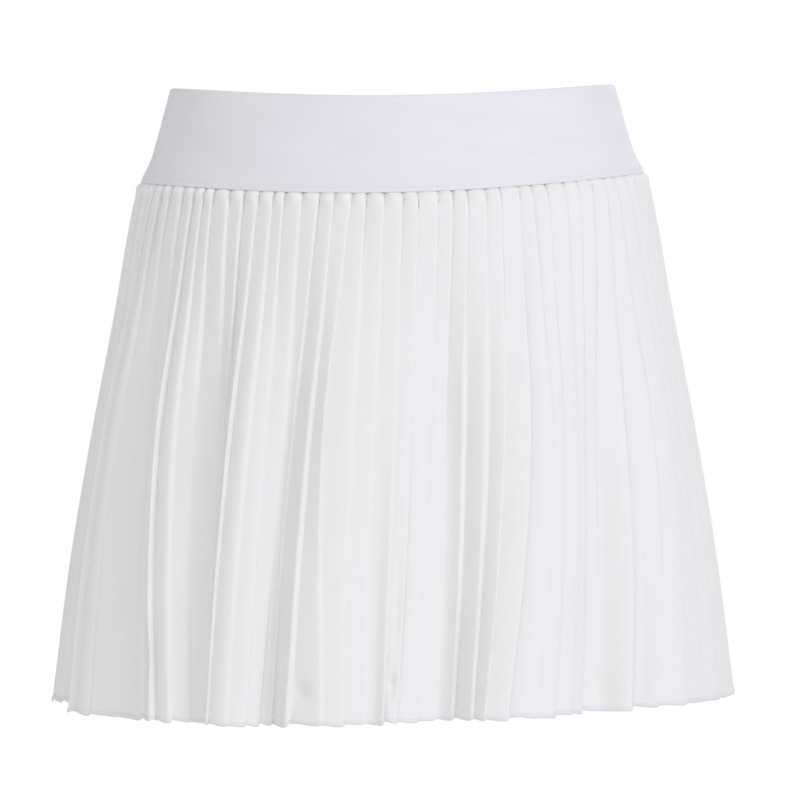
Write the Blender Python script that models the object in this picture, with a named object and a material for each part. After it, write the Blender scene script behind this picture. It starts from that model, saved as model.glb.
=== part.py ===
"""Pleated tennis skirt, filled out as when it is worn.

A wide elastic waistband in two halves, with two knife-pleated panels hung from its lower edge.
Metres, +Z up; the front faces -Y, and the origin is the middle of the waist opening.
"""

import bpy
import numpy as np

# Driving dimensions, in metres
SEAM_GAP = 0.0003            # clearance between two sewn pieces
BAND_WALL = 0.0020           # elastic band, cloth round a knitted elastic
BAND_SEGMENTS = 22           # faces round each half of the band
CLOTH_WALL = 0.0011          # pleated cloth, thickened so that it is a solid
PLEATS_PER_PANEL = 42
PLEAT_LEAN = -0.012          # how far the pleats wander sideways by the hem, as a share of the round
HEM_STEP = 0.0010            # each fold edge hangs this much lower at the hem
ARC_SAMPLES = 720

# The three edges of the skirt: how far each lies below the rim's sides, how much lower it hangs
# at the front and back centres, how fast it rises towards +X, and how far its lowest stretch is
# drawn towards -X.
EDGES = {
    #        sides   front   back    rise   skew
    "rim":  (0.0000, 0.0068, 0.0030, 0.009, 0.0),
    "seam": (0.0495, 0.0087, 0.0050, 0.020, 0.0),
    "hem":  (0.3282, 0.0052, 0.0036, 0.015, 0.7),
}
PANEL_LENGTH = EDGES["hem"][0] - EDGES["seam"][0]

# Outline of the band: share of its height, then half width and half depth of its outer face.
# The last rows swell over the pleats that are sewn in behind it.
BAND_SECTIONS = (
    # down  half_width half_depth
    (0.00, 0.1197, 0.0840),
    (0.28, 0.1234, 0.0862),
    (0.56, 0.1274, 0.0885),
    (0.80, 0.1314, 0.0908),
    (0.90, 0.1342, 0.0930),
    (1.00, 0.1359, 0.0944),
)

# Outline of the pleated skirt through its fold edges: distance below the band, half width, half
# depth, how deep the pleats are there, and how far a fold edge overhangs the next pleat.
SKIRT_SECTIONS = (
    # below   half_width half_depth pleat_depth overhang
    (-0.0050, 0.1310, 0.0898, 0.0006, 0.0000),
    (0.0005, 0.1331, 0.0916, 0.0008, 0.0000),
    (0.0050, 0.1380, 0.0960, 0.0020, 0.0002),
    (0.0220, 0.1421, 0.0992, 0.0030, 0.0004),
    (0.0660, 0.1498, 0.1054, 0.0040, 0.0006),
    (0.1310, 0.1624, 0.1168, 0.0048, 0.0008),
    (0.2000, 0.1742, 0.1279, 0.0055, 0.0010),
    (PANEL_LENGTH, 0.1845, 0.1380, 0.0062, 0.0012),
)

# The largest folds, which gather several pleats: place round the hem (0 at the -X side seam, 0.25
# at the front centre), reach to either side, height (a trough is negative), and where each
# starts, as a share of the panel's length.
LARGE_FOLDS = (
    # place  reach   height   start
    (0.056, 0.012, 0.0030, 0.05),
    (0.108, 0.014, -0.0055, 0.20),
    (0.128, 0.010, 0.0025, 0.15),
    (0.148, 0.010, -0.0045, 0.15),
    (0.171, 0.013, 0.0035, 0.20),
    (0.192, 0.011, -0.0060, 0.10),
    (0.213, 0.012, 0.0030, 0.15),
    (0.250, 0.014, -0.0030, 0.45),
    (0.294, 0.020, -0.0040, 0.15),
    (0.322, 0.016, 0.0035, 0.20),
    (0.380, 0.018, -0.0025, 0.40),
    (0.424, 0.020, 0.0025, 0.40),
    (0.556, 0.016, 0.0030, 0.15),
    (0.600, 0.014, -0.0045, 0.20),
    (0.662, 0.018, 0.0035, 0.30),
    (0.700, 0.013, -0.0050, 0.15),
    (0.748, 0.018, 0.0035, 0.25),
    (0.795, 0.012, -0.0040, 0.35),
    (0.842, 0.016, 0.0030, 0.10),
    (0.888, 0.013, -0.0045, 0.25),
    (0.940, 0.018, 0.0030, 0.30),
)

LILAC_WHITE = (0.76, 0.75, 0.82)
WHITE = (0.84, 0.84, 0.86)


def clear_scene():
    for obj in list(bpy.data.objects):
        bpy.data.objects.remove(obj, do_unlink=True)


def fabric(name, colour, roughness):
    """A plain Principled cloth for one kind of piece."""
    material = bpy.data.materials.new(name)
    material.use_nodes = True
    shader = material.node_tree.nodes["Principled BSDF"]
    shader.inputs["Base Color"].default_value = (*colour, 1.0)
    shader.inputs["Roughness"].default_value = roughness
    shader.inputs["Metallic"].default_value = 0.0
    return material


def edge_height(edge, x, y, half_width):
    """Height of an edge over the plan point x, y: it dips at the centres and tilts along X."""
    sides, front, back, rise, skew = EDGES[edge]
    dip = np.where(y < 0, front, back)
    across = np.clip(x / half_width, -1.0, 1.0)
    return -sides - dip * (1.0 - across**2) * (1.0 - skew * across) + rise * x


def round_the_body(half_width, half_depth, share):
    """Point and outward normal of an ellipse at a share of its length, from -X by way of -Y."""
    angle = np.linspace(np.pi, 3 * np.pi, ARC_SAMPLES + 1)
    dense = np.stack([half_width * np.cos(angle), half_depth * np.sin(angle)], axis=1)
    steps = np.hypot(*np.diff(dense, axis=0).T)
    length = np.concatenate([[0.0], np.cumsum(steps)])
    here = np.interp(np.mod(share, 1.0) * length[-1], length, angle)
    point = np.stack([half_width * np.cos(here), half_depth * np.sin(here)], axis=-1)
    normal = np.stack([half_depth * np.cos(here), half_width * np.sin(here)], axis=-1)
    normal /= np.linalg.norm(normal, axis=-1, keepdims=True)
    return point, normal, length[-1]


def smooth_rise(value):
    """0 below 0 and 1 above 1, with a soft start and end."""
    held = np.clip(value, 0.0, 1.0)
    return held * held * (3.0 - 2.0 * held)


def large_fold_height(share, down):
    """How far the large folds push the cloth out at a share of the round and of the length."""
    total = np.zeros_like(share)
    for place, reach, height, start in LARGE_FOLDS:
        distance = np.mod(share - place + 0.5, 1.0) - 0.5
        total += height * np.exp(-((distance / reach) ** 2)) * smooth_rise((down - start) / 0.75)
    return total


def wall_mesh(name, outer, inner):
    """Closed wall between two grids of points, each a list of rings that run the same way."""
    rings, columns = outer.shape[:2]
    points = np.concatenate([outer.reshape(-1, 3), inner.reshape(-1, 3)])
    index = np.arange(len(points)).reshape(2, rings, columns)
    out, back = index

    def strip(first, second):
        """Quads between two lines of point numbers."""
        return [
            (int(first[i]), int(second[i]), int(second[i + 1]), int(first[i + 1]))
            for i in range(len(first) - 1)
        ]

    faces = []
    for ring in range(rings - 1):
        faces += strip(out[ring], out[ring + 1])
        faces += strip(back[ring + 1], back[ring])
    faces += strip(back[0], out[0])
    faces += strip(out[-1], back[-1])
    faces += strip(out[:, 0], back[:, 0])
    faces += strip(back[:, -1], out[:, -1])
    mesh = bpy.data.meshes.new(name)
    mesh.from_pydata(points.tolist(), [], faces)
    mesh.update()
    return mesh


def add_piece(name, mesh, material, crease_degrees):
    """Object for one cut piece, shaded smooth except over its creases."""
    mesh.materials.append(material)
    mesh.shade_smooth()
    mesh.set_sharp_from_angle(angle=np.radians(crease_degrees))
    obj = bpy.data.objects.new(name, mesh)
    bpy.context.scene.collection.objects.link(obj)
    return obj


def band_half(name, first_share, material):
    """Half of the waistband, from one side seam to the other."""
    outer, inner = [], []
    for down, half_width, half_depth in BAND_SECTIONS:
        for grid, inset in ((outer, 0.0), (inner, BAND_WALL)):
            width, depth = half_width - inset, half_depth - inset
            _, _, length = round_the_body(width, depth, np.zeros(1))
            margin = SEAM_GAP / 2 / length
            share = np.linspace(first_share + margin, first_share + 0.5 - margin, BAND_SEGMENTS + 1)
            plan, _, _ = round_the_body(width, depth, share)
            x, y = plan.T
            top = edge_height("rim", x, y, width)
            bottom = edge_height("seam", x, y, width)
            grid.append(np.stack([x, y, top + (bottom - top) * down], axis=1))
    return add_piece(name, wall_mesh(name, np.array(outer), np.array(inner)), material, 50)


def wall_shift(pitch, depth, overhang):
    """Sideways and inward move that sets the wall's inner zigzag CLOTH_WALL from its outer one."""
    face = np.array([-depth, pitch + overhang])
    fold_back = np.array([depth, -overhang])
    normals = np.stack([face / np.linalg.norm(face), fold_back / np.linalg.norm(fold_back)])
    return np.linalg.solve(normals, np.full(2, -CLOTH_WALL))


def pleat_profile(pitch, depth, overhang):
    """Outer and inner zigzag of a panel as rows of (along, out), in metres.

    Each pleat rises from its valley to its fold edge, then turns back under itself. The first
    point is trimmed square, so that the next panel's last fold clears it.
    """
    sideways, inward = wall_shift(pitch, depth, overhang)
    slope = depth / (pitch + overhang)
    trimmed = -depth + SEAM_GAP * slope
    thickness = CLOTH_WALL * np.hypot(1.0, slope)
    outer = [(SEAM_GAP, trimmed)]
    inner = [(SEAM_GAP, trimmed - thickness)]
    for pleat in range(1, PLEATS_PER_PANEL + 1):
        for along, out in ((pleat * pitch + overhang, 0.0), (pleat * pitch, -depth)):
            outer.append((along, out))
            inner.append((along + sideways, out + inward))
    return np.array(outer), np.array(inner)


def pleated_panel(name, first_share, material):
    """One pleated panel, from the side seam at first_share to the other one."""
    outer, inner = [], []
    for below, half_width, half_depth, pleat_depth, overhang in SKIRT_SECTIONS:
        down = below / PANEL_LENGTH
        _, _, length = round_the_body(half_width, half_depth, np.zeros(1))
        pitch = length / (2 * PLEATS_PER_PANEL)
        lean = PLEAT_LEAN * smooth_rise(down)
        profiles = pleat_profile(pitch, pleat_depth, overhang)
        crest = first_share + lean + profiles[0][:, 0] / length
        push = large_fold_height(crest, down)
        drop = HEM_STEP * max(down, 0.0) * (1.0 + profiles[0][:, 1] / pleat_depth)
        for grid, profile in ((outer, profiles[0]), (inner, profiles[1])):
            share = first_share + lean + profile[:, 0] / length
            plan, normal, _ = round_the_body(half_width, half_depth, share)
            x, y = (plan + normal * (profile[:, 1] + push)[:, None]).T
            seam = edge_height("seam", x, y, half_width)
            hem = edge_height("hem", x, y, half_width)
            grid.append(np.stack([x, y, seam + (hem - seam) * down - drop], axis=1))
    return add_piece(name, wall_mesh(name, np.array(outer), np.array(inner)), material, 20)


clear_scene()
band_cloth = fabric("waistband_elastic", LILAC_WHITE, 0.75)
pleat_cloth = fabric("pleated_polyester", WHITE, 0.85)
for side, first_share in (("front", 0.0), ("back", 0.5)):
    band_half(f"waistband_{side}", first_share, band_cloth)
    pleated_panel(f"skirt_{side}", first_share, pleat_cloth)
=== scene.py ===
import math

import bpy
import numpy as np
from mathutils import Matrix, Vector


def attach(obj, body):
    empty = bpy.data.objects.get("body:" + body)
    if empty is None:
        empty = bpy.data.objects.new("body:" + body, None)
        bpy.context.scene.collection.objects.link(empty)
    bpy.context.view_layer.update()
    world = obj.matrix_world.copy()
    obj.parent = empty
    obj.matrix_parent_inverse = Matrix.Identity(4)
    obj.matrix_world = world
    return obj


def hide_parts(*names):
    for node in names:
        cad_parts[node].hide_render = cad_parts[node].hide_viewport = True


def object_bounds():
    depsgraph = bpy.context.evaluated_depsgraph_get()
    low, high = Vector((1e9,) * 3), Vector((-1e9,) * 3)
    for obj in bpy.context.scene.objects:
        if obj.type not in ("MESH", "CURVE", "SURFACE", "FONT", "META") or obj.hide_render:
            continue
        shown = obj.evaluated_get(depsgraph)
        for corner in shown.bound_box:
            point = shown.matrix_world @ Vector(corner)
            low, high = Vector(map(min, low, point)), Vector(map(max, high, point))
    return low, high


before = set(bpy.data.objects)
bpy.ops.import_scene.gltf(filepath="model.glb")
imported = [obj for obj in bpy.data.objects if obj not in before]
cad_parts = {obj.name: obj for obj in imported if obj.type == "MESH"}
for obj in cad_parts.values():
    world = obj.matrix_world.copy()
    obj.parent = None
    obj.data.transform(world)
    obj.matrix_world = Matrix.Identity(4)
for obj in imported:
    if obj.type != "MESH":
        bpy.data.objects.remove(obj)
cad_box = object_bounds()


# Waistband: a 50 mm knitted elastic in a smooth polyester jersey that is folded over the rim.
# The front and back halves meet at the side seams, and each swells near its lower edge, where
# the tops of the pleats are sewn in behind it.

BAND_CUT = (0.344, 0.052)       # one half laid flat: its length, and its height with the roll
BAND_HEIGHT = 0.050
BAND_COLUMNS = 180
BAND_HALF_GAP = 0.0001          # from the end of each half to the middle of the side seam
SEAM_ROLL = 0.00045             # how far the cover rolls in at the ends of each half
SEAM_ROLL_REACH = 0.0011
BAND_RIPPLE = 0.00016           # stretched elastic is never quite flat
ARC_SAMPLES = 1441
EDGES = {
    # how far below the rim's sides, extra drop at the front and back centres, rise towards +X,
    # and how far the lowest stretch is drawn towards -X
    "rim": {"sides": 0.0, "front": 0.0068, "back": 0.0030, "rise": 0.009, "skew": 0.0},
    "seam": {"sides": 0.0495, "front": 0.0087, "back": 0.0050, "rise": 0.020, "skew": 0.0},
    "hem": {"sides": 0.3282, "front": 0.0052, "back": 0.0036, "rise": 0.015, "skew": 0.7},
}
BAND_OUTLINE = {
    "down": (0.00, 0.28, 0.56, 0.78, 0.88, 0.95, 1.00),
    "half_width": (0.1197, 0.1234, 0.1274, 0.1311, 0.1336, 0.1354, 0.1359),
    "half_depth": (0.0840, 0.0862, 0.0885, 0.0906, 0.0926, 0.0941, 0.0944),
}
BAND_PROFILE = {
    # once round the band's thickness: share of its height, and depth below its outer face in mm
    "down": (0.955, 0.950, 0.944, 0.935, 0.90, 0.86, 0.80, 0.775, 0.75, 0.68, 0.60, 0.50, 0.40,
             0.30, 0.20, 0.12, 0.06, 0.030, 0.014, 0.004, 0.000, 0.004, 0.014, 0.030, 0.10, 0.30,
             0.50, 0.70, 0.85, 0.93, 0.97, 0.990, 0.998, 1.000, 1.000, 0.998, 0.993, 0.986, 0.976,
             0.966, 0.960),
    "below": (0.30, 0.38, 0.30, 0.08, 0.00, 0.00, 0.06, 0.00, 0.10, 0.00, 0.00, 0.00, 0.00, 0.00,
              0.00, 0.00, 0.00, 0.02, 0.15, 0.55, 1.00, 1.50, 1.85, 2.00, 2.00, 2.00, 2.00, 2.00,
              2.00, 2.00, 2.00, 1.98, 1.85, 1.50, 0.45, 0.15, 0.00, -0.06, -0.04, 0.05, 0.18),
}


def between(places, values, at):
    """Smooth curve through a table's points, read at the given places."""
    places, values = np.asarray(places, float), np.asarray(values, float)
    at = np.clip(at, places[0], places[-1])
    slope = np.gradient(values, places)
    i = np.clip(np.searchsorted(places, at, side="right") - 1, 0, len(places) - 2)
    step = places[i + 1] - places[i]
    t = (at - places[i]) / step
    return (
        (2 * t**3 - 3 * t**2 + 1) * values[i]
        + (t**3 - 2 * t**2 + t) * step * slope[i]
        + (3 * t**2 - 2 * t**3) * values[i + 1]
        + (t**3 - t**2) * step * slope[i + 1]
    )


def edge_height(edge, x, y, half_width):
    """Height of an edge over the plan point x, y: it dips at the centres and tilts along X."""
    line = EDGES[edge]
    across = np.clip(x / half_width, -1.0, 1.0)
    dip = np.where(y < 0, line["front"], line["back"])
    dip = dip * (1 - across**2) * (1 - line["skew"] * across)
    return -line["sides"] - dip + line["rise"] * x


def round_the_body(half_width, half_depth, share):
    """Points and outward normals of an oval at shares of its length, from -X by way of -Y."""
    angle = np.linspace(np.pi, 3 * np.pi, ARC_SAMPLES)
    dense = np.stack([half_width * np.cos(angle), half_depth * np.sin(angle)])
    length = np.concatenate([[0.0], np.cumsum(np.hypot(*np.diff(dense)))])
    here = np.interp(np.mod(share, 1.0) * length[-1], length, angle)
    point = np.stack([half_width * np.cos(here), half_depth * np.sin(here)], axis=-1)
    normal = np.stack([half_depth * np.cos(here), half_width * np.sin(here)], axis=-1)
    return point, normal / np.linalg.norm(normal, axis=-1, keepdims=True), length[-1]


def grid_mesh(name, points, cut_size, closed_down=False, capped=False):
    """Mesh of a grid of points, with the cloth's own cut coordinates, in metres, as its UV map."""
    rows, columns = points.shape[:2]
    number = np.arange(rows * columns).reshape(rows, columns)
    if closed_down:
        number = np.concatenate([number, number[:1]])
        cut_size = np.concatenate([cut_size, cut_size[-1:] + cut_size[1:2] - cut_size[:1]])
    quads = np.stack([number[:-1, :-1], number[1:, :-1], number[1:, 1:], number[:-1, 1:]], -1)
    faces = quads.reshape(-1, 4).tolist()
    cuts = np.stack([cut_size[:-1, :-1], cut_size[1:, :-1], cut_size[1:, 1:], cut_size[:-1, 1:]], 2)
    cuts = cuts.reshape(-1, 2)
    if capped:
        faces += [number[:-1, 0][::-1].tolist(), number[:-1, -1].tolist()]
        cuts = np.concatenate([cuts, cut_size[:-1, 0][::-1], cut_size[:-1, -1]])
    mesh = bpy.data.meshes.new(name)
    mesh.from_pydata(points.reshape(-1, 3).tolist(), [], faces)
    mesh.uv_layers.new(name="cut").data.foreach_set("uv", cuts.astype(np.float32).ravel())
    mesh.update()
    return mesh


def add_piece(name, mesh, material, crease_degrees):
    """Object for one piece of the skirt, shaded smooth except over its creases."""
    mesh.materials.append(material)
    mesh.shade_smooth()
    mesh.set_sharp_from_angle(angle=math.radians(crease_degrees))
    piece = bpy.data.objects.new(name, mesh)
    bpy.context.scene.collection.objects.link(piece)
    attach(piece, "root")
    return piece


def linear(colour):
    """An sRGB hex colour as the linear red, green and blue that shaders take."""
    parts = [int(colour[i:i + 2], 16) / 255 for i in (1, 3, 5)]
    return tuple(c / 12.92 if c <= 0.04045 else ((c + 0.055) / 1.055) ** 2.4 for c in parts)


def add_node(tree, kind, settings=None, inputs=None):
    """Adds a node, sets its properties, and sets or links its inputs."""
    node = tree.nodes.new(kind)
    for key, value in (settings or {}).items():
        setattr(node, key, value)
    for key, value in (inputs or {}).items():
        if isinstance(value, bpy.types.NodeSocket):
            tree.links.new(value, node.inputs[key])
        else:
            node.inputs[key].default_value = value
    return node


def new_material(name):
    """An empty material with its node tree and output."""
    material = bpy.data.materials.new(name)
    material.use_nodes = True
    tree = material.node_tree
    tree.nodes.clear()
    return material, tree, add_node(tree, "ShaderNodeOutputMaterial")


# Polyester jersey, knitted with elastane and stretched smooth: matt, very fine loops that only
# mottle it, with a cool lilac white from its optical brightener.
jersey, tree, output = new_material("polyester_elastane_jersey")
cut = add_node(tree, "ShaderNodeUVMap", {"uv_map": "cut"}).outputs["UV"]
# The real loops are 0.3 mm apart; they are drawn at 0.9 mm, so that they show.
loops = add_node(tree, "ShaderNodeTexNoise", None,
                 {"Vector": cut, "Scale": 1 / 0.0009, "Detail": 2.0, "Roughness": 0.6})
stretched = add_node(tree, "ShaderNodeMapping", None,
                     {"Vector": cut, "Scale": (18.0, 70.0, 1.0)})
mottle = add_node(tree, "ShaderNodeTexNoise", None,
                  {"Vector": stretched.outputs["Vector"], "Scale": 1.0, "Detail": 3.0,
                   "Roughness": 0.55})
tone = add_node(tree, "ShaderNodeValToRGB", None, {"Fac": mottle.outputs["Fac"]})
tone.color_ramp.elements[0].position = 0.30
tone.color_ramp.elements[0].color = (*linear("#E3E2E7"), 1.0)
tone.color_ramp.elements[1].position = 0.70
tone.color_ramp.elements[1].color = (*linear("#E7E6EB"), 1.0)
height = add_node(tree, "ShaderNodeBump", None,
                  {"Height": loops.outputs["Fac"], "Strength": 0.12, "Distance": 0.0004})
cloth = add_node(tree, "ShaderNodeBsdfPrincipled", None,
                 {"Base Color": tone.outputs["Color"], "Normal": height.outputs["Normal"],
                  "Roughness": 0.72, "Sheen Weight": 0.12, "Sheen Roughness": 0.45,
                  "Specular IOR Level": 0.25})
tree.links.new(cloth.outputs["BSDF"], output.inputs["Surface"])


def band_half(side, first_share):
    """Half of the waistband, its profile carried from one side seam to the other."""
    down = np.array(BAND_PROFILE["down"])
    below = np.array(BAND_PROFILE["below"]) / 1000
    width = between(BAND_OUTLINE["down"], BAND_OUTLINE["half_width"], down) - below
    depth = between(BAND_OUTLINE["down"], BAND_OUTLINE["half_depth"], down) - below
    across = np.linspace(0.0, 1.0, BAND_COLUMNS + 1)
    rings = []
    for row, share_down in enumerate(down):
        length = round_the_body(width[row], depth[row], np.zeros(1))[2]
        gap = BAND_HALF_GAP / length
        share = first_share + gap + across * (0.5 - 2 * gap)
        plan, normal, _ = round_the_body(width[row], depth[row], share)
        to_seam = np.minimum(across, 1 - across) * length / 2
        roll = SEAM_ROLL * np.exp(-((to_seam / SEAM_ROLL_REACH) ** 2))
        ripple = BAND_RIPPLE * np.sin(across * 23 + 5 * share_down) * np.sin(across * 9 + 2.0)
        x, y = (plan + normal * (ripple - roll)[:, None]).T
        top = edge_height("rim", x, y, width[row])
        bottom = edge_height("seam", x, y, width[row])
        rings.append(np.stack([x, y, top + (bottom - top) * share_down], axis=-1))
    points = np.array(rings)
    round_profile = np.hypot(np.diff(down) * BAND_HEIGHT, np.diff(below))
    round_profile = np.cumsum(np.r_[0, round_profile])
    cut_size = np.stack(np.meshgrid(across * BAND_CUT[0] + first_share, round_profile), axis=-1)
    mesh = grid_mesh(f"band_{side}", points, cut_size, closed_down=True, capped=True)
    piece = add_piece(f"band_{side}", mesh, jersey, crease_degrees=50)
    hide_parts(f"waistband_{side}")
    return piece


bands = {"front": band_half("front", 0.0), "back": band_half("back", 0.5)}


# Band seam: one row of lockstitch in white polyester thread close to the band's lower edge, which
# closes the cover over the tops of the pleats. It lies in the groove that it pulls.

THREAD_RADIUS = 0.00014
BAND_STITCH = 0.0027
STITCH_START = 0.12             # where the thread comes up, as a share of a stitch
STITCH_SHOWN = 0.78             # the share of a stitch that lies on the cloth
ROW_DOWN = 0.950                # where the row lies, as a share of the band's height
GROOVE_DEPTH = 0.00022

# Polyester thread, spun from short fibres: dull and a little fuzzy, its plies no more than a grain.
thread, tree, output = new_material("spun_polyester_thread")
twist = add_node(tree, "ShaderNodeTexCoord").outputs["Object"]
plies = add_node(tree, "ShaderNodeTexNoise", None, {"Vector": twist, "Scale": 2500.0})
relief = add_node(tree, "ShaderNodeBump", None,
                  {"Height": plies.outputs["Fac"], "Strength": 0.3, "Distance": 0.0001})
spun = add_node(tree, "ShaderNodeBsdfPrincipled", None,
                {"Base Color": (*linear("#F2F1F7"), 1.0), "Normal": relief.outputs["Normal"],
                 "Roughness": 0.6, "Sheen Weight": 0.1})
tree.links.new(spun.outputs["BSDF"], output.inputs["Surface"])


def stitch_row(name, path, out, stitch, radius):
    """One joined mesh of stitches along a line of points: each a short grain of thread."""
    step = np.linalg.norm(np.diff(path, axis=0), axis=1)
    along = np.r_[0, np.cumsum(step)]
    count = int(along[-1] // stitch)
    starts = np.arange(count) * stitch + STITCH_START * stitch
    ends = starts + STITCH_SHOWN * stitch
    rings, sides = 5, 6
    # Each grain thins and dives into the cloth at both ends.
    swell = np.array([0.35, 0.9, 1.0, 0.9, 0.35]) * radius
    dive = np.array([-1.1, 0.0, 0.25, 0.0, -1.1]) * radius
    turn = np.linspace(0, 2 * np.pi, sides, endpoint=False)
    points, faces = [], []
    for first, last in zip(starts, ends):
        at = np.linspace(first, last, rings)
        centre = np.stack([np.interp(at, along, path[:, i]) for i in range(3)], axis=-1)
        normal = np.stack([np.interp(at, along, out[:, i]) for i in range(3)], axis=-1)
        normal /= np.linalg.norm(normal, axis=1, keepdims=True)
        forward = centre[-1] - centre[0]
        side = np.cross(normal, forward / np.linalg.norm(forward))
        base = len(points)
        for ring in range(rings):
            middle = centre[ring] + normal[ring] * dive[ring]
            for angle in turn:
                spoke = normal[ring] * math.sin(angle) + side[ring] * math.cos(angle)
                points.append(tuple(middle + spoke * swell[ring]))
        for ring in range(rings - 1):
            for k in range(sides):
                a, b = base + ring * sides + k, base + ring * sides + (k + 1) % sides
                faces.append((a, b, b + sides, a + sides))
        faces.append(tuple(base + k for k in reversed(range(sides))))
        faces.append(tuple(base + (rings - 1) * sides + k for k in range(sides)))
    mesh = bpy.data.meshes.new(name)
    mesh.from_pydata(points, [], faces)
    mesh.update()
    piece = add_piece(name, mesh, thread, crease_degrees=60)


def band_seam_row(side, first_share):
    """The lockstitch row that lies in the groove of one half of the band."""
    down = np.array(ROW_DOWN)
    width = between(BAND_OUTLINE["down"], BAND_OUTLINE["half_width"], down) - GROOVE_DEPTH
    depth = between(BAND_OUTLINE["down"], BAND_OUTLINE["half_depth"], down) - GROOVE_DEPTH
    share = np.linspace(first_share + 0.002, first_share + 0.498, 400)
    plan, normal, _ = round_the_body(width, depth, share)
    x, y = plan.T
    top = edge_height("rim", x, y, width)
    bottom = edge_height("seam", x, y, width)
    path = np.stack([x, y, top + (bottom - top) * down], axis=-1)
    out = np.concatenate([normal, np.zeros((len(normal), 1))], axis=1)
    stitch_row(f"band_stitching_{side}", path, out, BAND_STITCH, THREAD_RADIUS)


for side, first_share in (("front", 0.0), ("back", 0.5)):
    band_seam_row(side, first_share)


# Pleated panels, front and back: thin white polyester with a fine crosswise rib, heat-pressed into
# knife pleats that all turn one way. Each is hemmed first, pleated, and sewn in behind the band;
# its pleats open as the skirt flares.

PLEATS = 42
ALL_PLEATS = 2 * PLEATS
PLEAT_FACE = 0.0157             # cut width of the part that faces out
PLEAT_BACK = 0.0072             # cut width of the part that is folded under it
CLOTH = 0.00022
PANEL_LENGTH = EDGES["hem"]["sides"] - EDGES["seam"]["sides"]
SKIRT_OUTLINE = {
    "below": (-0.0050, -0.0010, -0.0002, 0.0003, 0.0008, 0.0014, 0.0024, 0.0045, 0.0075, 0.0130,
              0.0220, 0.0660, 0.1310, 0.2000, 0.2787),
    "half_width": (0.1312, 0.1330, 0.1349, 0.1360, 0.1366, 0.1371, 0.1377, 0.1383, 0.1390, 0.1403,
                   0.1421, 0.1498, 0.1624, 0.1742, 0.1845),
    "half_depth": (0.0898, 0.0916, 0.0934, 0.0945, 0.0951, 0.0955, 0.0960, 0.0964, 0.0970, 0.0980,
                   0.0992, 0.1054, 0.1168, 0.1279, 0.1380),
}
PLEAT_DEPTH = {
    # how deep the pleats are: the seam holds them flat, then they spring open
    "below": (-0.0050, -0.0005, 0.0010, 0.0030, 0.0100, 0.0300, 0.0800, 0.1500, 0.2300, 0.2787),
    "most": (0.0006, 0.0007, 0.0014, 0.0019, 0.0019, 0.0018, 0.0015, 0.0014, 0.0015, 0.0017),
}
# How far the fold edges have swung sideways, in pleats, under the band, in the middle and at the
# hem: they crowd together in the troughs and spread out on the slopes.
SWING_DOWN = (0.0, 0.42, 1.0)
SWINGS = (
    # edge  band  middle  hem
    (0, 0.0, -0.4, -1.0),
    (2, 0.2, 0.0, 0.2),
    (3, 0.3, 0.2, 0.9),
    (5, 0.2, 0.3, 1.3),
    (6, 0.0, 0.3, 1.7),
    (7, 0.3, 0.8, 2.3),
    (8, 0.1, 0.5, 2.2),
    (10, -0.3, 0.4, 2.0),
    (11, -0.3, 0.6, 1.6),
    (12, -0.2, 0.3, 0.8),
    (13, -0.2, -0.2, 0.0),
    (15, -0.5, -0.3, -0.4),
    (16, -0.5, -0.6, -1.0),
    (17, -0.4, -1.0, -1.3),
    (18, -0.4, -0.9, -1.4),
    (19, -0.5, -1.4, -1.0),
    (20, -0.5, -0.8, -0.9),
    (22, -0.4, -0.8, -1.4),
    (24, -0.3, -0.9, -1.9),
    (26, -0.4, -1.1, -2.1),
    (28, -0.3, -1.1, -3.0),
    (29, -0.2, -1.0, -3.1),
    (30, -0.4, -0.8, -2.7),
    (32, -0.1, -1.2, -3.0),
    (34, 0.0, -1.7, -3.3),
    (35, 0.1, -1.2, -3.1),
    (36, 0.2, -0.4, -2.7),
    (37, 0.3, 0.0, -2.1),
    (39, 0.2, 0.0, -1.1),
    (42, 0.0, -0.4, -1.0),
    (45, 0.2, 0.0, -0.3),
    (49, 0.1, 0.5, 0.8),
    (51, -0.2, -0.1, -0.3),
    (54, 0.2, 0.4, 0.5),
    (57, -0.1, -0.7, -0.9),
    (59, 0.2, 0.6, 1.2),
    (61, -0.1, 0.0, -0.2),
    (65, 0.2, 0.6, 1.0),
    (68, 0.0, -0.5, -1.2),
    (72, 0.3, 0.7, 1.3),
    (75, -0.2, -0.2, 0.1),
    (78, 0.1, 0.5, 0.9),
    (81, -0.1, -0.1, -0.6),
    (84, 0.0, -0.4, -1.0),
)
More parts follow.
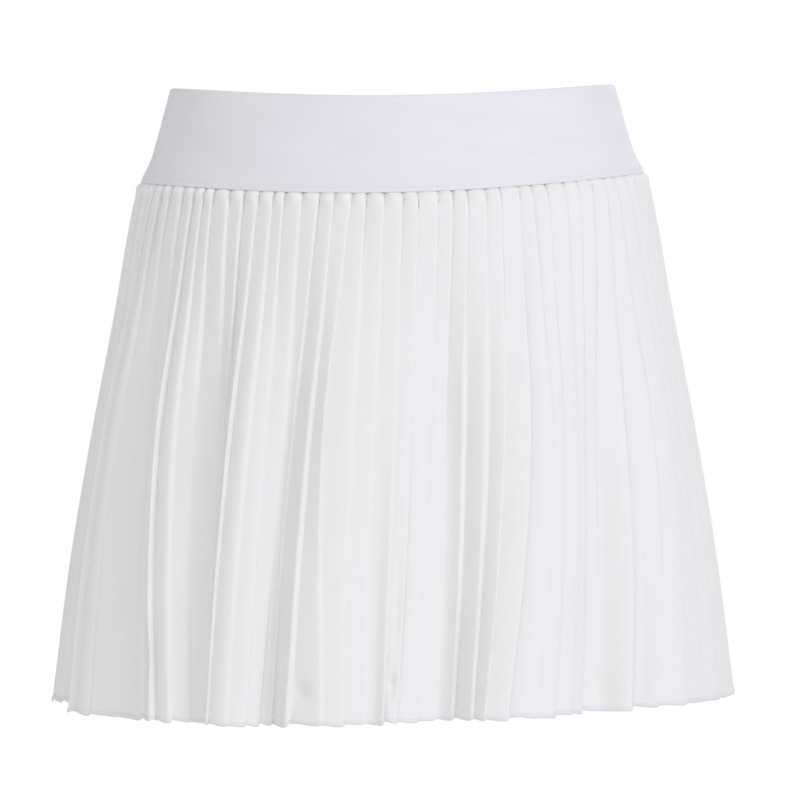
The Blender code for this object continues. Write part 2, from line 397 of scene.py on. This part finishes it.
# Large folds that gather several pleats: the pleat that each lies on, its reach in pleats towards
# the side it starts and ends on, its height in mm half way down and at the hem, and where it
# starts as a share of the length. A trough is negative and soft; a ridge stands on a fold edge.
LARGE_FOLDS = (
    # pleat  before after  middle  hem   start
    (2.8, 1.4, 1.0, -5.0, -6.0, 0.03),
    (4.0, 0.8, 1.4, 5.0, 6.5, 0.02),
    (6.6, 1.4, 0.9, -6.0, -7.0, 0.05),
    (8.0, 0.8, 1.3, 4.4, 5.0, 0.04),
    (9.0, 0.4, 0.7, 0.8, 1.2, 0.20),
    (11.0, 1.5, 1.4, -5.5, -6.5, 0.06),
    (13.0, 1.0, 2.0, 4.5, 5.0, 0.05),
    (16.6, 1.6, 1.0, -6.0, -7.0, 0.05),
    (18.0, 0.7, 0.9, 2.5, 3.5, 0.10),
    (19.0, 0.5, 1.8, 2.5, 2.5, 0.05),
    (21.4, 1.0, 0.5, -2.0, -3.0, 0.35),
    (22.0, 0.4, 1.2, 1.0, 1.5, 0.20),
    (25.2, 1.7, 1.4, -10.0, -13.0, 0.06),
    (29.0, 2.3, 2.2, 8.0, 10.0, 0.04),
    (34.0, 1.8, 0.7, -7.0, -11.0, 0.15),
    (35.0, 0.7, 0.5, 4.5, 6.0, 0.25),
    (35.4, 0.4, 0.5, -4.5, -7.0, 0.25),
    (36.0, 0.6, 1.8, 4.5, 7.0, 0.20),
    (39.0, 0.7, 1.6, 0.8, 1.5, 0.30),
    (46.0, 0.6, 2.2, 3.0, 3.5, 0.15),
    (50.1, 1.4, 0.6, -5.5, -7.0, 0.20),
    (51.0, 0.5, 2.2, 2.5, 3.5, 0.20),
    (56.2, 1.5, 0.6, -4.0, -5.5, 0.30),
    (57.0, 0.5, 1.6, 2.5, 3.5, 0.12),
    (60.1, 1.3, 0.6, -5.0, -6.0, 0.12),
    (62.0, 1.2, 2.2, 3.0, 4.0, 0.25),
    (66.6, 1.2, 0.7, -4.0, -5.5, 0.35),
    (70.0, 0.6, 2.0, 3.5, 4.5, 0.10),
    (74.1, 1.2, 0.6, -5.0, -6.5, 0.25),
    (75.0, 0.5, 2.0, 2.5, 3.0, 0.25),
    (79.0, 0.7, 2.0, 2.5, 3.0, 0.30),
)
# Small dents where the cloth has buckled: pleat, share of the length, reach in pleats and as a
# share of the length, and depth in mm.
DENTS = (
    (18.3, 0.940, 0.28, 0.016, 3.0),
    (22.4, 0.930, 0.30, 0.020, 3.2),
    (22.5, 0.780, 0.45, 0.110, 2.6),
    (7.6, 0.880, 0.50, 0.050, 2.2),
    (59.4, 0.910, 0.40, 0.025, 1.8),
    (68.4, 0.800, 0.50, 0.090, 1.6),
)
# How far each pleat's hem has been drawn up, in mm.
HEM_LIFT = {
    "pleat": (0, 1.5, 2.9, 3.1, 6, 12, 14, 18, 26, 30, 42, 50, 58, 66, 78, 82, 84),
    "by": (0.2, 1.8, 3.4, -1.0, -0.2, 0.8, -0.6, 0.2, 0.6, -0.3, 0.0, -0.5, 0.7, -0.4, 0.3, 0.2,
           0.2),
}
# Where the points of one pleat lie: along its face from the valley to the fold edge, then back
# along the part that is folded under.
ON_FACE = np.array([0.0, 0.08, 0.18, 0.30, 0.42, 0.55, 0.68, 0.80, 0.90, 0.96, 1.0])
ON_BACK = np.array([0.14, 0.5, 0.88])
FOLD_ROLL = 0.00035             # how far the cloth rounds off at a fold edge
CROWDED_BELOW = 0.0125          # pleats narrower than this begin to crowd
CROWDED_RANGE = 0.0055
STEEPEST_CLIMB = 0.009          # most that a large fold rises over one pleat
CALM_PLEAT = 38                 # the front's pleats lie calmest here, near the +X side seam
CALM_REACH = 6
CALM = 0.45                     # the share of their depth that they lose there
# How far the folded part of a pleat leans open: under the band, lower down, where a large fold
# climbs over the pleat, and on the pleat before one that is climbed.
OPEN_AT_BAND = 0.0006
OPEN_LOWER = 0.0007
OPEN_CLIMBED = 0.0007
OPEN_BEFORE = 0.0010
OPEN_MOST = 0.3                 # and never by more than this share of the pleat
DEPTH_MOST = 0.31               # deepest valley, as a share of the pleat beside it
RIDGE_FALL = 0.00035            # extra depth behind a ridge for each mm of its height
PUFF = 0.0007                   # how far each pleat puffs out right below the band
GATHER = 0.0013                 # how deep the notches between the puffs are drawn in
FOLD_DROP = 0.0013              # how much lower a fold edge hangs than its valley at the hem
HEM_WAVER = 0.0004              # how unevenly the pleats' hems hang
HEM_TURN = 0.0023               # how far the hem is turned up
HEM_PROUD = 0.00040             # how proud the turned hem stands
HEM_STITCH = 0.0024
HEM_THREAD_RADIUS = 0.00011
THREAD_CLEAR = 0.00003


def ease(value):
    """0 below 0 and 1 above 1, with a soft start and end."""
    held = np.clip(value, 0.0, 1.0)
    return held * held * (3.0 - 2.0 * held)


def pleat_place(pleat, down):
    """Where a pleat's valley lies, in pleats round the skirt, at a share of the length."""
    table = np.array(SWINGS)
    hang = np.clip(down, 0, 1)
    swing = sum(
        table[:, 1 + i] * between(SWING_DOWN, np.eye(3)[i], hang) for i in range(3)
    )
    # No two pleats are pressed quite alike, but the side seams stay where they are.
    uneven = 0.09 * np.sin(2.4 * pleat) + 0.05 * np.sin(1.9 * pleat + 5.0 * down) * hang
    inner = np.clip(np.minimum(pleat % PLEATS, -pleat % PLEATS), 0, 1)
    return pleat + np.interp(pleat, table[:, 0], swing) + uneven * inner


def pleats_away(pleat, at):
    """How many pleats one place lies from another, the shorter way round the skirt."""
    return np.mod(pleat - at + PLEATS, ALL_PLEATS) - PLEATS


def fold_height(pleat, down):
    """How far the large folds and dents push the cloth out, in metres."""
    total = np.zeros(np.broadcast(pleat, down).shape)
    for at, before, after, middle, hem, start in LARGE_FOLDS:
        away = pleats_away(pleat, at)
        reach = np.where(away < 0, before, after)
        grown = middle * ease((down - start) / 0.45) + (hem - middle) * ease((down - 0.5) / 0.5)
        # A ridge is pressed sharp on its fold edge, and a trough is soft.
        bend = 1.4 if hem > 0 else 2.0
        total += grown * np.exp(-np.abs(away / reach) ** bend)
    for at, share, reach, reach_down, depth in DENTS:
        away = pleats_away(pleat, at)
        total -= depth * np.exp(-((away / reach) ** 2) - ((down - share) / reach_down) ** 2)
    return total / 1000


def behind_ridge(pleat, down):
    """How much deeper the cloth falls back behind the fold edge that tops each ridge."""
    step = np.zeros(len(pleat))
    for at, _, _, _, hem, start in LARGE_FOLDS:
        if hem > 0:
            grown = RIDGE_FALL * hem * ease((down - start) / 0.35)
            step += grown * (np.abs(pleat - at) < 0.1)
    return step


def panel_rows():
    """Distances below the band of the rows of points, close together at the seam and the hem."""
    top = [-0.0045, -0.0010, -0.0002, 0.0003, 0.0008, 0.0016, 0.0024, 0.0035, 0.0050, 0.0070,
           0.0098, 0.0135]
    hem = PANEL_LENGTH - np.array([0.0045, 0.0032, 0.0022, 0.0019, 0.0011, 0.0003, 0.0])
    return np.concatenate([top, np.linspace(0.0175, hem[0] - 0.0035, 61), hem])


def pleat_zigzag(pleat, below, length, most):
    """One row of a panel: how far round each point lies, and how far out from the fold edges."""
    down = below / PANEL_LENGTH
    valley = pleat_place(pleat, down) * length / ALL_PLEATS
    pitch = np.diff(valley)
    # Each pleat stands a little proud of the next, more where they crowd together or where a
    # large fold climbs; drawn apart, the cloth is nearly flat. The part folded under leans open
    # a little, and closes where the pleats crowd.
    crowded = ease((CROWDED_BELOW - pitch) / CROWDED_RANGE)
    climb = np.clip(np.diff(fold_height(pleat, down)), 0.0, STEEPEST_CLIMB)
    climbing = ease(climb / 0.006) * ease(down / 0.3)
    spring = 1 + 0.45 * np.sin(3.7 * pleat[:-1] + 2 * down)
    spring = spring + 0.35 * np.sin(1.3 * pleat[:-1] + 5 * down)
    calm = 1 - CALM * np.exp(-((pleat[:-1] - CALM_PLEAT) / CALM_REACH) ** 2)
    deep = most * spring * calm * (0.45 + 0.90 * crowded)
    deep = deep * (1 - 0.5 * ease((climb - 0.004) / 0.004)) + 0.14 * climb
    over = -OPEN_AT_BAND - OPEN_LOWER * ease(down / 0.35)
    over = over + (OPEN_AT_BAND + OPEN_AT_BAND * ease(down) ** 2) * crowded
    over = over - OPEN_CLIMBED * climbing - OPEN_BEFORE * np.r_[climbing[1:], 0.0]
    over = np.maximum(over, -OPEN_MOST * pitch)
    valley_depth = np.r_[deep[0], (deep[1:] + 2 * deep[:-1]) / 3, deep[-1]]
    beside = np.minimum(np.r_[pitch[0], pitch], np.r_[pitch, pitch[-1]])
    valley_depth = np.minimum(valley_depth, DEPTH_MOST * beside) + behind_ridge(pleat, down)
    t = ON_FACE[None, :]
    rise = np.sin(np.pi / 2 * t) ** 1.05
    # Just below the band each pleat puffs out between its stitched folds.
    puffed = 0.9 * np.exp(-((below - 0.0012) / 0.0040) ** 2) * (below > 0)
    rise = rise * (1 - puffed) + puffed * np.sin(np.pi * (0.05 + 0.90 * t)) ** 0.6
    roll = FOLD_ROLL * np.clip((t - 0.88) / 0.12, 0, 1) ** 2
    face_along = valley[:-1, None] + t * (pitch + over)[:, None]
    face_out = -valley_depth[:-1, None] * (1 - rise) - roll
    plump = PUFF * puffed * (1 + 0.4 * np.sin(4.3 * pleat[:-1, None]))
    face_out = face_out + plump * np.sin(np.pi * t)
    # The gathers: a notch is drawn in at each fold, deepest right under the band.
    drawn = GATHER * (below > -0.0006) * np.exp(-(max(below, 0) / 0.0034) ** 2)
    drawn = drawn * (0.7 + 0.3 * np.sin(5.1 * pleat[:-1, None])) * calm[:, None]
    wide = 0.07 + 0.17 * np.exp(-max(below, 0) / 0.0020)
    face_out = face_out - drawn * (np.exp(-(t / wide) ** 2) + np.exp(-((1 - t) / wide) ** 2))
    s = ON_BACK[None, :]
    edge_out = face_out[:, -1:]
    back_along = valley[1:, None] + (1 - s) * over[:, None]
    back_out = edge_out + (-valley_depth[1:, None] - edge_out) * s
    along = np.r_[np.concatenate([face_along, back_along], axis=1).ravel(), valley[-1]]
    out = np.r_[np.concatenate([face_out, back_out], axis=1).ravel(), -valley_depth[-1]]
    return along, out


def pleated_panel(side, first_pleat):
    """One panel as a thin shell, its pleats opening from the seam to the hem."""
    below = panel_rows()
    width = between(SKIRT_OUTLINE["below"], SKIRT_OUTLINE["half_width"], below)
    depth = between(SKIRT_OUTLINE["below"], SKIRT_OUTLINE["half_depth"], below)
    most = between(PLEAT_DEPTH["below"], PLEAT_DEPTH["most"], below)
    pleat = first_pleat + np.arange(PLEATS + 1)
    own = np.r_[(pleat[:-1, None] + np.r_[ON_FACE, np.ones(len(ON_BACK))]).ravel(), pleat[-1]]
    on_pleat = np.r_[ON_FACE * PLEAT_FACE, PLEAT_FACE + ON_BACK * PLEAT_BACK]
    cut_along = np.arange(PLEATS)[:, None] * (PLEAT_FACE + PLEAT_BACK) + on_pleat
    cut_along = np.r_[cut_along.ravel(), PLEATS * (PLEAT_FACE + PLEAT_BACK)]
    lift = np.interp(pleat + 0.5, HEM_LIFT["pleat"], HEM_LIFT["by"]) / 1000
    lift = lift + HEM_WAVER * np.sin(2.9 * pleat)
    lift_back = lift[:-1, None] + (lift[1:] - lift[:-1])[:, None] * ON_BACK
    lift = np.c_[lift[:-1, None].repeat(len(ON_FACE), 1), lift_back].ravel()
    lift = np.r_[lift, lift[-1]]
    rows = []
    hem_path = None
    for row, drop_below in enumerate(below):
        down = drop_below / PANEL_LENGTH
        length = round_the_body(width[row], depth[row], np.zeros(1))[2]
        along, out = pleat_zigzag(pleat, drop_below, length, most[row])
        in_hem = PANEL_LENGTH - HEM_TURN + 0.0003 < drop_below < PANEL_LENGTH - 0.0001
        plan, normal, _ = round_the_body(width[row], depth[row], along / length)
        x, y = (plan + normal * (out + fold_height(own, down) + HEM_PROUD * in_hem)[:, None]).T
        seam = edge_height("seam", x, y, width[row])
        hem = edge_height("hem", x, y, width[row])
        drop = FOLD_DROP * max(down, 0) * np.clip(1 + out / most[row], 0, 1)
        drop = drop - lift * ease(down) ** 2
        rows.append(np.stack([x, y, seam + (hem - seam) * down - drop], axis=-1))
        if hem_path is None and drop_below > PANEL_LENGTH - HEM_TURN:
            hem_path = rows[-1], np.c_[normal, np.zeros(len(normal))]
    cut_size = np.stack(np.meshgrid(cut_along, below), axis=-1)
    mesh = grid_mesh(f"pleats_{side}", np.array(rows), cut_size)
    piece = add_piece(f"pleats_{side}", mesh, crepe, crease_degrees=78)
    shell = piece.modifiers.new("cloth thickness", "SOLIDIFY")
    shell.thickness = CLOTH
    shell.offset = 0.0
    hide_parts(f"skirt_{side}")
    sewn = hem_path[0] + hem_path[1] * (CLOTH / 2 + THREAD_CLEAR)
    stitch_row(f"hem_stitching_{side}", sewn, hem_path[1], HEM_STITCH, HEM_THREAD_RADIUS)


# White polyester, woven with a fine crosswise rib and heat-set: matt, a little cooler than paper,
# with the rib showing in patches where the light rakes it.
crepe, tree, output = new_material("ribbed_polyester_crepe")
cut = add_node(tree, "ShaderNodeUVMap", {"uv_map": "cut"}).outputs["UV"]
parts = add_node(tree, "ShaderNodeSeparateXYZ", None, {"Vector": cut})
# The rib repeats every 1.1 mm down the cloth, and shows in patches 25 to 40 mm across.
RIB_SPACING = 0.0011
phase = add_node(tree, "ShaderNodeMath", {"operation": "MULTIPLY"},
                 {0: parts.outputs["Y"], 1: 2 * math.pi / RIB_SPACING})
rib = add_node(tree, "ShaderNodeMath", {"operation": "SINE"}, {0: phase.outputs["Value"]})
patch_scale = add_node(tree, "ShaderNodeMapping", None,
                       {"Vector": cut, "Scale": (40.0, 25.0, 1.0)})
patches = add_node(tree, "ShaderNodeTexNoise", None,
                   {"Vector": patch_scale.outputs["Vector"], "Scale": 1.0, "Detail": 1.0})
seldom = add_node(tree, "ShaderNodeMapRange", None,
                  {"Value": patches.outputs["Fac"], "From Min": 0.42, "From Max": 0.72,
                   "To Max": 1.6})
patchy = add_node(tree, "ShaderNodeMath", {"operation": "MULTIPLY"},
                  {0: rib.outputs["Value"], 1: seldom.outputs["Result"]})
# The real threads are 0.2 mm apart; they are drawn at 0.7 mm, so that they streak it lengthwise.
warp_scale = add_node(tree, "ShaderNodeMapping", None,
                      {"Vector": cut, "Scale": (1400.0, 30.0, 1.0)})
warp = add_node(tree, "ShaderNodeTexNoise", None,
                {"Vector": warp_scale.outputs["Vector"], "Scale": 1.0, "Detail": 2.0})
weave = add_node(tree, "ShaderNodeMath", {"operation": "ADD"},
                 {0: patchy.outputs["Value"], 1: warp.outputs["Fac"]})
tone = add_node(tree, "ShaderNodeMapRange", None,
                {"Value": weave.outputs["Value"], "From Min": -0.5, "From Max": 1.5})
colour = add_node(tree, "ShaderNodeMix", {"data_type": "RGBA"},
                  {"Factor": tone.outputs["Result"], 6: (*linear("#F5F5F5"), 1.0),
                   7: (*linear("#FAFAFB"), 1.0)})
# The hem is turned up once and lies double, so that it looks denser and a little lilac.
turned = add_node(tree, "ShaderNodeMapRange", None,
                  {"Value": parts.outputs["Y"], "From Min": PANEL_LENGTH - HEM_TURN,
                   "From Max": PANEL_LENGTH - HEM_TURN + 0.0003})
doubled = add_node(tree, "ShaderNodeMix", {"data_type": "RGBA"},
                   {"Factor": turned.outputs["Result"], 6: colour.outputs[2],
                    7: (*linear("#F2F1F6"), 1.0)})
relief = add_node(tree, "ShaderNodeBump", None,
                  {"Height": weave.outputs["Value"], "Strength": 0.12, "Distance": 0.00025})
polyester = add_node(tree, "ShaderNodeBsdfPrincipled", None,
                     {"Base Color": doubled.outputs[2], "Normal": relief.outputs["Normal"],
                      "Roughness": 0.68, "Sheen Weight": 0.5, "Sheen Roughness": 0.4,
                      "Specular IOR Level": 0.3})
# Cloth this thin passes some light, a little warmed, so that no fold is ever black.
through = add_node(tree, "ShaderNodeBsdfTranslucent", None, {"Color": (*linear("#FCFBF4"), 1.0)})
thin = add_node(tree, "ShaderNodeMixShader", None,
                {0: 0.18, 1: polyester.outputs["BSDF"], 2: through.outputs["BSDF"]})
tree.links.new(thin.outputs["Shader"], output.inputs["Surface"])

for side, first_pleat in (("front", 0), ("back", PLEATS)):
    pleated_panel(side, first_pleat)


# Studio: a plain pale floor a waist's height below the skirt, one large soft light from the front
# right, weaker ones from the front, the left and behind, and even light from all round.

FLOOR_DROP = 1.0
FLOOR_REACH = 2.2
CAMERA_PLACE = (0.0019, -3.3, -0.10)
CAMERA_AIM = (0.0019, 0.0, -0.169)

floor_mesh = bpy.data.meshes.new("floor")
corners = ((-1, -1), (1, -1), (1, 1), (-1, 1))
floor_mesh.from_pydata([(x * FLOOR_REACH, y * FLOOR_REACH, -FLOOR_DROP) for x, y in corners],
                       [], [(0, 1, 2, 3)])
floor = bpy.data.objects.new("floor", floor_mesh)
bpy.context.scene.collection.objects.link(floor)
# Emulsion paint, rolled on: an even near-white with no gloss.
paint, tree, output = new_material("matt_white_paint")
matt = add_node(tree, "ShaderNodeBsdfPrincipled", None,
                {"Base Color": (*linear("#F4F4F4"), 1.0), "Roughness": 0.9})
tree.links.new(matt.outputs["BSDF"], output.inputs["Surface"])
floor_mesh.materials.append(paint)

world = bpy.data.worlds.new("studio")
bpy.context.scene.world = world
world.use_nodes = True
tree = world.node_tree
tree.nodes.clear()
seen = add_node(tree, "ShaderNodeBackground", None, {"Color": (1, 1, 1, 1), "Strength": 1.0})
even = add_node(tree, "ShaderNodeBackground", None,
                {"Color": (*linear("#FAFAFB"), 1.0), "Strength": 0.645})
path = add_node(tree, "ShaderNodeLightPath")
both = add_node(tree, "ShaderNodeMixShader", None,
                {0: path.outputs["Is Camera Ray"], 1: even.outputs["Background"],
                 2: seen.outputs["Background"]})
add_node(tree, "ShaderNodeOutputWorld", None, {"Surface": both.outputs["Shader"]})

SOFTBOXES = (
    # name, place in metres, side in metres, watts, colour
    ("key", (1.95, -1.95, 1.1), 1.2, 29.0, "#F4F5FF"),
    ("front", (-0.5, -3.0, 0.9), 1.2, 9.0, "#FFFEFC"),
    ("fill", (-2.0, -2.2, 0.9), 1.6, 6.5, "#FFFEFA"),
    ("rear", (1.3, 2.6, 1.1), 1.2, 16.0, "#FFFFFF"),
)
middle = (cad_box[0] + cad_box[1]) / 2
for name, place, size, watts, colour in SOFTBOXES:
    lamp = bpy.data.lights.new(name, "AREA")
    lamp.size = size
    lamp.energy = watts
    lamp.color = linear(colour)
    softbox = bpy.data.objects.new(name, lamp)
    softbox.location = place
    softbox.rotation_mode = "QUATERNION"
    softbox.rotation_quaternion = (middle - softbox.location).to_track_quat("-Z", "Y")
    bpy.context.scene.collection.objects.link(softbox)

bpy.context.scene.view_settings.view_transform = "Standard"

lens = bpy.data.cameras.new("camera")
lens.lens = 275.0
camera = bpy.data.objects.new("camera", lens)
camera.location = CAMERA_PLACE
camera.rotation_mode = "QUATERNION"
camera.rotation_quaternion = (Vector(CAMERA_AIM) - camera.location).to_track_quat("-Z", "Y")
bpy.context.scene.collection.objects.link(camera)
bpy.context.scene.camera = camera
